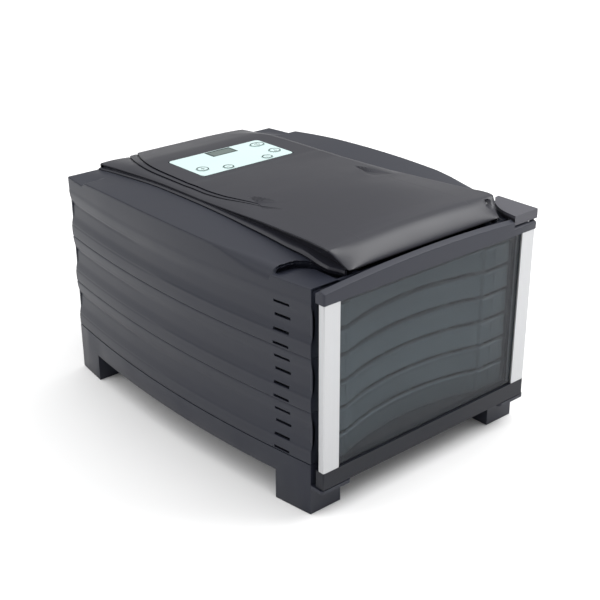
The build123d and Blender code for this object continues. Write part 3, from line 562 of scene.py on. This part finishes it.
def hood_section(groove_share):
    """Half of every section, from the middle out and down to the shoulder."""
    depth, top = hood_stations()
    d = depth[:, None]
    peak = top[:, None]
    bound = curve(
        d, (-3, 107), (4, 109.3), (11, 114), (17, 117.4), (24, 117.6), (50, 114.5), (80, 112.4),
        (127, 109.6), (178, 108.2), (230, 107.8), (300, 107.0), (385, 108.3), (430, 108.0),
    )
    groove = curve(
        d, (120, 74), (136, 79), (167, 86), (190, 89.2), (212, 92), (235, 92.4), (258, 92), (304, 91),
        (329, 90.3), (350, 88.5), (370, 84), (400, 71), (430, 55),
    )
    width = curve(d, (120, 1.5), (160, 3.0), (230, 4.6), (300, 5.5), (350, 6.5), (430, 11.0))
    sunk = curve(d, (128, 0.0), (165, 0.9), (230, 1.9), (330, 2.4), (430, 3.0))
    middle = PANEL_HALF + 0.3 + (0.82 * groove - PANEL_HALF - 0.3) * smooth(354, 392, d)
    shoulder = edge_height(np.maximum(d, 0)) - 0.5
    rise = curve(
        d,
        (-3, 254.4), (2, 257.6), (8, 263.4), (13, 269.0), (17, 272.2), (24, 272.9), (47, 272.0), (80, 270.4),
        (127, 268.2), (178, 265.4), (230, 263.6), (300, 262.6), (385, 258.6), (415, 256.2), (430, 254.9),
    )
    camber = curve(d, (-3, 0), (20, 3.0), (80, 5.0), (150, 5.0), (230, 3.6), (262, 0.6), (276, 0))
    ledge_in = curve(
        d, (-3, 5.5), (20, 6.4), (50, 6.6), (80, 5.2), (125, 4.6), (176, 3.4), (300, 2.7), (430, 2.5)
    )
    ledge_out = 0.5 * ledge_in
    ledge_wide = curve(
        d, (-3, 1.2), (33, 3.2), (50, 4.4), (80, 6.0), (125, 6.2), (176, 4.6), (240, 3.2), (430, 3.0)
    )
    full = 1 - smooth(120, 175, d)
    xs, zs = [], []

    def put(x, z):
        """Adds one point to every section."""
        xs.append(np.broadcast_to(x, d.shape))
        zs.append(np.broadcast_to(z, d.shape))

    rim = np.minimum(rise, peak)
    bend = curve(d, (-3, 9.0), (14, 7.0), (30, 5.0), (80, 3.6), (150, 2.6), (430, 2.2))

    def skin(at):
        """Height of the smooth top at a distance from the middle."""
        arch = peak - camber * (at / bound) ** 2
        whole_way = np.clip(at / (bound - RIM_WIDTH), 0, 1)
        past_groove = np.clip((at - groove) / (bound - RIM_WIDTH - groove), 0, 1)
        return arch + (rim - arch) * (full * whole_way**bend + (1 - full) * past_groove**bend)

    def ramp(at):
        """Shallow three-sided hollow where the groove runs out at the front."""
        t = (d - RAMP_START) / RAMP_LENGTH
        wide = smooth(60 + 16 * t, 63 + 16 * t, at) * smooth(92 - 14 * t, 89 - 14 * t, at)
        return RAMP_DEPTH * np.clip(t, 0, 1) * wide * smooth(1.08, 0.98, t)

    for share in np.linspace(0, 1, PANEL_CELLS + 1):
        put(middle * share, skin(middle * share) - ramp(middle * share))
    for share in np.linspace(0, 1, 13)[1:]:
        at = middle + (groove - middle) * share
        put(at, skin(at) - ramp(at))
    for out, across, drop in (
        (-0.10, 0, 0.25), (-0.22, 0, 0.9), (0.05, 0.0, 1.0), (0.30, 0.0, 0.62),
        (0.40, 0.12, 0.45), (0, 0.5, 0.45), (0.0, 0.88, 0.5), (0, 1.0, 0.62),
        (-0.20, 1.0, 0.9), (-0.18, 1.0, 1.4), (0.10, 1.0, 1.45), (0.35, 1.0, 1.05),
    ):
        at = groove + width * across + sunk * out
        put(at, skin(at) - groove_share * drop * sunk - ramp(at))
    outer = groove + width + 0.5 * sunk
    for share in np.linspace(0, 1, 18)[:-1]:
        at = outer + (bound - RIM_WIDTH - outer) * share
        put(at, skin(at) - 0.95 * groove_share * sunk * (1 - share) ** 1.6 - ramp(at))
    put(bound - RIM_WIDTH, rim)
    put(bound - 0.35, rim - 0.35)
    put(bound, rim - 1.1)
    tall = np.maximum(rim - shoulder - ledge_in, 0.6)
    toe = 0.14 * np.maximum(tall - 2, 0)
    tuck = toe * 6
    put(bound - 0.6 * tuck, rim - 1.1 - 0.25 * tall)
    put(bound - 0.9 * tuck, rim - 0.70 * tall)
    foot = shoulder + np.minimum(ledge_in, np.maximum(rim - shoulder - 1.6, 0.4))
    put(bound - tuck, foot + 0.3)
    put(bound - 0.9 * tuck, foot)
    for across, drop in ((0.35, 0.12), (0.75, 0.32), (1.0, 0.5)):
        put(bound - toe + across * ledge_wide + 0.5, foot - drop * ledge_in)
    put(bound - toe + ledge_wide - 0.6, shoulder + 0.5 * ledge_out)
    put(bound - toe + ledge_wide - 1.6, shoulder - 0.6)
    x = np.concatenate(xs, axis=1)
    z = np.minimum(np.concatenate(zs, axis=1), peak)
    z = np.where(d < 0.5, np.maximum(z, LIP), z)
    return depth, surface(x, FRONT + d, z)


hood_depth, right_half = hood_section(GROOVE_RIGHT)
left_half = hood_section(GROOVE_LEFT)[1][:, :0:-1] * MIRROR
whole = np.concatenate([left_half, right_half], axis=1)
dent = np.exp(-(((whole[..., 0] - DENT_X) / 3.4) ** 2 + ((whole[..., 2] - DENT_Z) / 3.6) ** 2) ** 2)
near_nose = (whole[..., 1] < FRONT + 14)[..., None]
whole = whole + near_nose * dent[..., None] * np.array([0, 4.0, -1.0])
inward = np.zeros_like(whole)
inward[..., 2] = -HOOD_WALL
inward[..., 0] = -np.sign(whole[..., 0]) * HOOD_WALL * smooth(70, 100, abs(whole[..., 0]))
inward[:NOSE_ROWS, :, 1] = HOOD_WALL
mid = (hood_depth[:-1] + hood_depth[1:]) / 2
over_panel = (mid > PANEL_FRONT) & (mid < PANEL_REAR)
columns = np.arange(whole.shape[1] - 1)
centre = right_half.shape[1] - 1
in_panel = (columns >= centre - PANEL_CELLS) & (columns < centre + PANEL_CELLS)
keep = ~(over_panel[:, None] & in_panel[None, :])
hood_skin = slab(whole[::-1], inward[::-1], keep[::-1])
rear_line = whole[-1]
rear_low = surface(rear_line[:, 0], rear_line[:, 1], REAR_FOOT)
rear_face = slab(np.stack([rear_low, rear_line]), np.array([0, -HOOD_WALL, 0.0]))
pocket = block(
    (-PANEL_HALF - POCKET_MARGIN, PANEL_FRONT + FRONT - POCKET_MARGIN, POCKET_BOTTOM),
    (PANEL_HALF + POCKET_MARGIN, PANEL_REAR + FRONT + POCKET_MARGIN, POCKET_TOP),
    0.3,
)
add_mesh("hood_cover", *join(hood_skin, rear_face, pocket), "cabinet", HOOD, "hood", ["hood"], angle=28)

# ---- door top bar and hinge cap --------------------------------------------------------
bar_low, bar_high = cad_box("door_top_bar")
END_ROUND = 1.5
NOTCH_X, NOTCH_Z = 115.5, 245.0
BAR_END = 249.0
RABBET_DEPTH, RABBET_HEIGHT = 6.0, 4.0
EDGE_DROP = 3.4
middle_x = (bar_low[0] + bar_high[0]) / 2
half_span = (bar_high[0] - bar_low[0]) / 2


def bar_section(x, crest, stepped):
    """Loop round the bar at one place: front, rounded front edge, top, step and rear."""
    to_end = min(x - bar_low[0], bar_high[0] - x, END_ROUND)
    front = bar_low[1] + END_ROUND - (END_ROUND**2 - (END_ROUND - to_end) ** 2) ** 0.5
    back = bar_high[1]
    step_z = crest - RABBET_HEIGHT if stepped else crest - 0.02
    step_y = back - RABBET_DEPTH
    points = [(front, bar_low[2]), (front, crest - EDGE_DROP)]
    for a in np.linspace(0, 60, 5):
        points.append((front + 1.2 * (1 - cos(radians(a))), crest - EDGE_DROP + 1.1 * sin(radians(a))))
    points += [(step_y - 0.3, crest), (step_y, crest - 0.3), (step_y, step_z)]
    points += [(back, step_z), (back, bar_low[2])]
    return np.array([(x, y, z) for y, z in points])


rounded_end = np.array([0, 0.3, 0.9, END_ROUND])
along_bar = steps(bar_low[0] + 3, NOTCH_X, 6)
bar_places = np.unique(np.concatenate([bar_low[0] + rounded_end, along_bar, bar_high[0] - rounded_end[::-1]]))
arch = bar_high[2] - (bar_high[2] - BAR_END) * ((bar_places - middle_x) / half_span) ** 2
loops = [bar_section(x, z, True) for x, z in zip(bar_places, arch) if x < NOTCH_X]
loops.append(bar_section(NOTCH_X, float(np.interp(NOTCH_X, bar_places, arch)), True))
loops.append(bar_section(NOTCH_X + 0.02, NOTCH_Z, False))
loops += [bar_section(x, NOTCH_Z, False) for x in bar_places if x > NOTCH_X + 0.1]
add_mesh("door_bar_top", *sweep(loops), "door", BAR, "door_bar", ["door_top_bar"], angle=40)

cap_low, cap_high = cad_box("hinge_cap")


def cap_outline(inset):
    """Cap in plan, its round side moved in by inset."""
    y = steps(cap_low[1], cap_high[1] - 1.5, 3)
    x = curve(y - FRONT, (-16, 117), (4, 121.0), (23, 131), (37.5, 147))
    x = x + inset * smooth(0, 5, y - cap_low[1])
    side = [(min(a, cap_high[0] - 1), b) for a, b in zip(x, y)]
    return side + [(cap_high[0], cap_high[1]), (cap_high[0], cap_low[1])]


LID = 3.4
CORE_INSET = 5.0
lid = prism(cap_outline(0), cap_high[2] - LID, cap_high[2])
core = prism(cap_outline(CORE_INSET), cap_low[2], cap_high[2] - LID)
add_mesh("hinge_cover", *join(lid, core), "cabinet", CAP, "hood", ["hinge_cap"], angle=30)

# ---- trays seen through the door -----------------------------------------------------
TRAY_COUNT = 6
BOW, BOW_HALF = 14.0, 90
FASCIA_WALL = 2.4
RAIL_OUTER, RAIL_INNER = 137, 134.4
RIB_TOP = 1.9
NET_PITCH, THREAD_HALF = 8, 0.6


def bow_depth(across):
    """How far a tray's front stands back at a distance from the middle."""
    return BOW * (1 - (np.clip(abs(across), 0, BOW_HALF) / BOW_HALF) ** 2) ** 0.9


def tray_front(low, high):
    """Bowed front strip with a lip along its top and flat pads at both ends."""
    tall = high[2] - low[2]
    end_pad = np.concatenate([[92.5, 95, 96, 98], steps(100, high[0], 6)])
    across = np.concatenate([-end_pad[::-1], steps(-BOW_HALF, BOW_HALF, 4.5), end_pad])
    up = np.concatenate([[0, 0.8], steps(2, tall - 3, 3.5), [tall - 1.6, tall - 0.7, tall - 0.2, tall]])
    back = 2.6 * smooth(98, 96, abs(across)) + bow_depth(across)
    lean = curve(
        up,
        (0, 1.0), (0.8, 0.25), (2, 0.0), (tall - 5, 0.9), (tall - 2.6, 0.0), (tall - 1.2, -0.5), (tall, 0.9),
    )
    face = surface(across[:, None], low[1] + back[:, None] + lean[None, :], low[2] + up[None, :])
    posts = [
        block((x - 2.0, low[1], low[2] + 1.5), (x + 2.0, low[1] + 1.2, low[2] + tall - 2.5))
        for x in (-101, -117, -133, 101, 117, 133)
    ]
    return join(slab(face, np.array([0, FASCIA_WALL, 0])), *posts)


def tray_frame(low, high):
    """Side rails, rear rail and the ribs under the net."""
    parts = [
        block((-RAIL_OUTER, low[1] + 4, low[2]), (-RAIL_INNER, high[1], low[2] + 8)),
        block((RAIL_INNER, low[1] + 4, low[2]), (RAIL_OUTER, high[1], low[2] + 8)),
        block((-RAIL_OUTER, high[1] - 2.6, low[2]), (RAIL_OUTER, high[1], low[2] + 5)),
    ]
    for x in (-43, 43):
        parts.append(block((x - 3, low[1] + 14, low[2]), (x + 3, high[1] - 2, low[2] + RIB_TOP), 0.3))
    for y in np.linspace(low[1] + 26, high[1] - 6, 4):
        parts.append(block((-136, y - 3, low[2]), (136, y + 3, low[2] + RIB_TOP), 0.3))
    return join(*parts)


def tray_net(front, low, high):
    """Threads of a tray's net, those from front to rear 0.1 mm lower than the others."""
    threads = []
    for x in steps(low[0] + 0.8, high[0] - 0.8, NET_PITCH):
        start = front + 4 + (3.0 + bow_depth(x))
        threads.append(block((x - THREAD_HALF, start, low[2]), (x + THREAD_HALF, high[1], high[2] - 0.1), 0))
    for y in steps(front + 20, high[1] - 0.8, NET_PITCH):
        threads.append(block((low[0], y - THREAD_HALF, low[2] + 0.1), (high[0], y + THREAD_HALF, high[2]), 0))
    return join(*threads)


for level in range(1, TRAY_COUNT + 1):
    tray = f"tray_{level}"
    low, high = cad_box(tray)
    mesh = join(tray_front(low, high), tray_frame(low, high))
    add_mesh(f"drying_{tray}", *mesh, tray, TRAY, "tray", [tray])
    net = tray_net(low[1], *cad_box(f"tray_mesh_{level}"))
    add_mesh(f"net_{level}", *net, tray, NET, "tray_mesh", [f"tray_mesh_{level}"])


# ---- printed marks on the keys and the panel -----------------------------------------
MARK_HEIGHT = 0.08
MARK_SINK = 0.02
RING_LINE, RING_HEIGHT, RING_INSET = 1.25, 0.1, 0.15


def bar(cx, cy, z, half_x, half_y):
    """Thin printed bar with round corners."""
    outline = rounded_rectangle(cx, cy, half_x, half_y, min(half_x, half_y) * 0.9)
    return prism(outline, z, z + MARK_HEIGHT)


def small_ring(cx, cy, z, half_x, half_y):
    """Thin printed ring."""
    return ring(cx, cy, z, half_x, half_y, 0.5, MARK_HEIGHT)


def key_mark(name, draw):
    """Outline ring of a key and the icon inside it."""
    low, high = cad_box(name)
    x, y, _ = (low + high) / 2
    half_x, half_y, _ = (high - low) / 2
    z = high[2] - MARK_SINK
    outline = ring(x, y, z, half_x - RING_INSET, half_y - RING_INSET, RING_LINE, RING_HEIGHT)
    add_mesh(f"{name}_mark", *join(outline, *draw(x, y, z)), name, PRINT, "key")


key_mark("key_power", lambda x, y, z: [bar(x, y + 1.4, z, 0.35, 2.4), small_ring(x, y, z, 3.4, 3.2)])
key_mark("key_temperature", lambda x, y, z: [bar(x, y + 1, z, 0.4, 2.2), small_ring(x, y - 2, z, 1.6, 1.6)])
key_mark("key_time", lambda x, y, z: [bar(x, y + 1.1, z, 0.3, 1.5), bar(x + 1, y, z, 1.4, 0.3)])
key_mark("key_minus", lambda x, y, z: [bar(x, y, z, 2.6, 0.4)])
key_mark("key_fan", lambda x, y, z: [bar(x, y, z, 2.8, 0.45), bar(x, y, z, 0.45, 2.8)])

display_low, display_high = cad_box("display")
left_x, right_x, front_y, rear_y = display_low[0], display_high[0], display_low[1], display_high[1]
border = [
    block((x0, y0, panel_high[2] - 0.05), (x1, y1, panel_high[2] + 0.2), 0)
    for x0, x1, y0, y1 in (
        (left_x - 2.6, left_x + 0.2, front_y - 1.6, rear_y + 2.2),
        (right_x - 0.2, right_x + 1.8, front_y - 1.6, rear_y + 2.2),
        (left_x + 0.2, right_x - 0.2, front_y - 1.6, front_y + 0.2),
        (left_x + 0.2, right_x - 0.2, rear_y - 0.4, rear_y + 2.2),
    )
]
add_mesh("display_border", *join(*border), "cabinet", PRINT, "panel")
window = block(
    (left_x + 0.1, front_y + 0.1, display_high[2] - 0.1),
    (right_x - 0.1, rear_y - 0.1, panel_high[2] + 0.1),
    0,
)
add_mesh("display_window", *window, "cabinet", SCREEN, "display")

# ---- finishes of the carried-over CAD nodes ------------------------------------------
finishes = {
    "base": SKIN, "foot_pads": RUBBER, "rear_panel": SKIN, "rear_screws": STEEL, "control_panel": PANEL,
    "display": SCREEN, "control_board": BOARD, "power_board": BOARD,
    "hinge_pin_upper": STEEL, "hinge_pin_lower": STEEL, "door_bottom_bar": LOW_BAR,
    "door_glass": GLASS, "door_strip_left": METAL, "door_strip_right": METAL, "catch_plate": STEEL,
    "catch_magnet": DARK, "liner_left": DARK, "liner_right": DARK, "liner_floor": DARK,
    "liner_ceiling": DARK, "rear_baffle": DARK, "fan_impeller": FAN, "fan_shaft": STEEL,
    "fan_motor": MOTOR, "fan_shroud": SHEET, "motor_bracket": SHEET, "heater_element": HEATER,
    "heater_terminals": CERAMIC, "thermal_cutout": STEEL, "mains_inlet": SOCKET,
    "key_power": PANEL, "key_temperature": PANEL, "key_time": PANEL, "key_minus": PANEL, "key_fan": PANEL,
}
for name, finish in finishes.items():
    node = nodes[name]
    node.data.materials.clear()
    node.data.materials.append(finish)

rounded = {"base": 0.8, "door_bottom_bar": 0.9, "door_strip_left": 0.5, "door_strip_right": 0.5}
for name, width in rounded.items():
    weld = nodes[name].modifiers.new("weld", "WELD")
    weld.merge_threshold = 0.00001
    soft = nodes[name].modifiers.new("soft_edges", "BEVEL")
    soft.width = width * MM
    soft.segments = 2
    soft.limit_method = "ANGLE"
    soft.angle_limit = radians(50)
    soft.harden_normals = True

# ---- stage, light and camera ---------------------------------------------------------
floor_mesh = bpy.data.meshes.new("floor")
FLOOR_HALF = 90
corners = [(x * FLOOR_HALF, y * FLOOR_HALF, 0) for x, y in ((-1, -1), (1, -1), (1, 1), (-1, 1))]
floor_mesh.from_pydata(corners, [], [(0, 1, 2, 3)])
floor = bpy.data.objects.new("floor", floor_mesh)
bpy.context.scene.collection.objects.link(floor)
floor.data.materials.append(FLOOR)

bpy.context.scene.view_settings.view_transform = "Standard"
world = bpy.data.worlds.new("studio")
bpy.context.scene.world = world
world.use_nodes = True
sky = world.node_tree
direction = sky.nodes.new("ShaderNodeTexCoord")
split = sky.nodes.new("ShaderNodeSeparateXYZ")
glow = sky.nodes.new("ShaderNodeMapRange")
glow.inputs["From Min"].default_value = 0.42
glow.inputs["From Max"].default_value = 0.95
glow.inputs["To Min"].default_value = 0.45
glow.inputs["To Max"].default_value = 2.1
sky.links.new(direction.outputs["Generated"], split.inputs["Vector"])
sky.links.new(split.outputs["Z"], glow.inputs["Value"])
sky.links.new(glow.outputs["Result"], sky.nodes["Background"].inputs["Strength"])
sky.nodes["Background"].inputs["Color"].default_value = (1.0, 1.0, 1.0, 1)


def soft_light(name, place, aim, size, power):
    """Rectangular lamp at a place in metres, turned towards its aim."""
    lamp = bpy.data.lights.new(name, "AREA")
    lamp.shape = "RECTANGLE"
    lamp.size, lamp.size_y = size
    lamp.energy = power
    holder = bpy.data.objects.new(name, lamp)
    bpy.context.scene.collection.objects.link(holder)
    holder.location = place
    holder.rotation_euler = (Vector(aim) - Vector(place)).to_track_quat("-Z", "Y").to_euler()


soft_light("left_box", (-2.0, 0.8, 1.2), (0, 0, 0.15), (1.2, 1.0), 8)
soft_light("nose_box", (1.25, -0.95, 1.6), (0, 0, 0.25), (1.2, 0.9), 24)
soft_light("rear_box", (1.9, 0.7, 1.1), (0, 0, 0.25), (1.2, 0.8), 1.6)

camera = bpy.data.cameras.new("camera")
camera.lens = 70.55
camera.sensor_width = 36
EYE = (-0.802517, -0.946255, 0.685198)
holder = bpy.data.objects.new("camera", camera)
bpy.context.scene.collection.objects.link(holder)
bpy.context.scene.camera = holder
heading, pitch, roll = radians(40.719), radians(24.482), radians(-0.275)
across = Vector((cos(heading), -sin(heading), 0))
level = Vector((sin(heading), cos(heading), 0))
ahead = level * cos(pitch) - Vector((0, 0, 1)) * sin(pitch)
upward = level * sin(pitch) + Vector((0, 0, 1)) * cos(pitch)
right_axis = across * cos(roll) + upward * sin(roll)
up_axis = upward * cos(roll) - across * sin(roll)
holder.matrix_world = Matrix(
    (
        (right_axis.x, up_axis.x, -ahead.x, EYE[0]),
        (right_axis.y, up_axis.y, -ahead.y, EYE[1]),
        (right_axis.z, up_axis.z, -ahead.z, EYE[2]),
        (0, 0, 0, 1),
    )
)
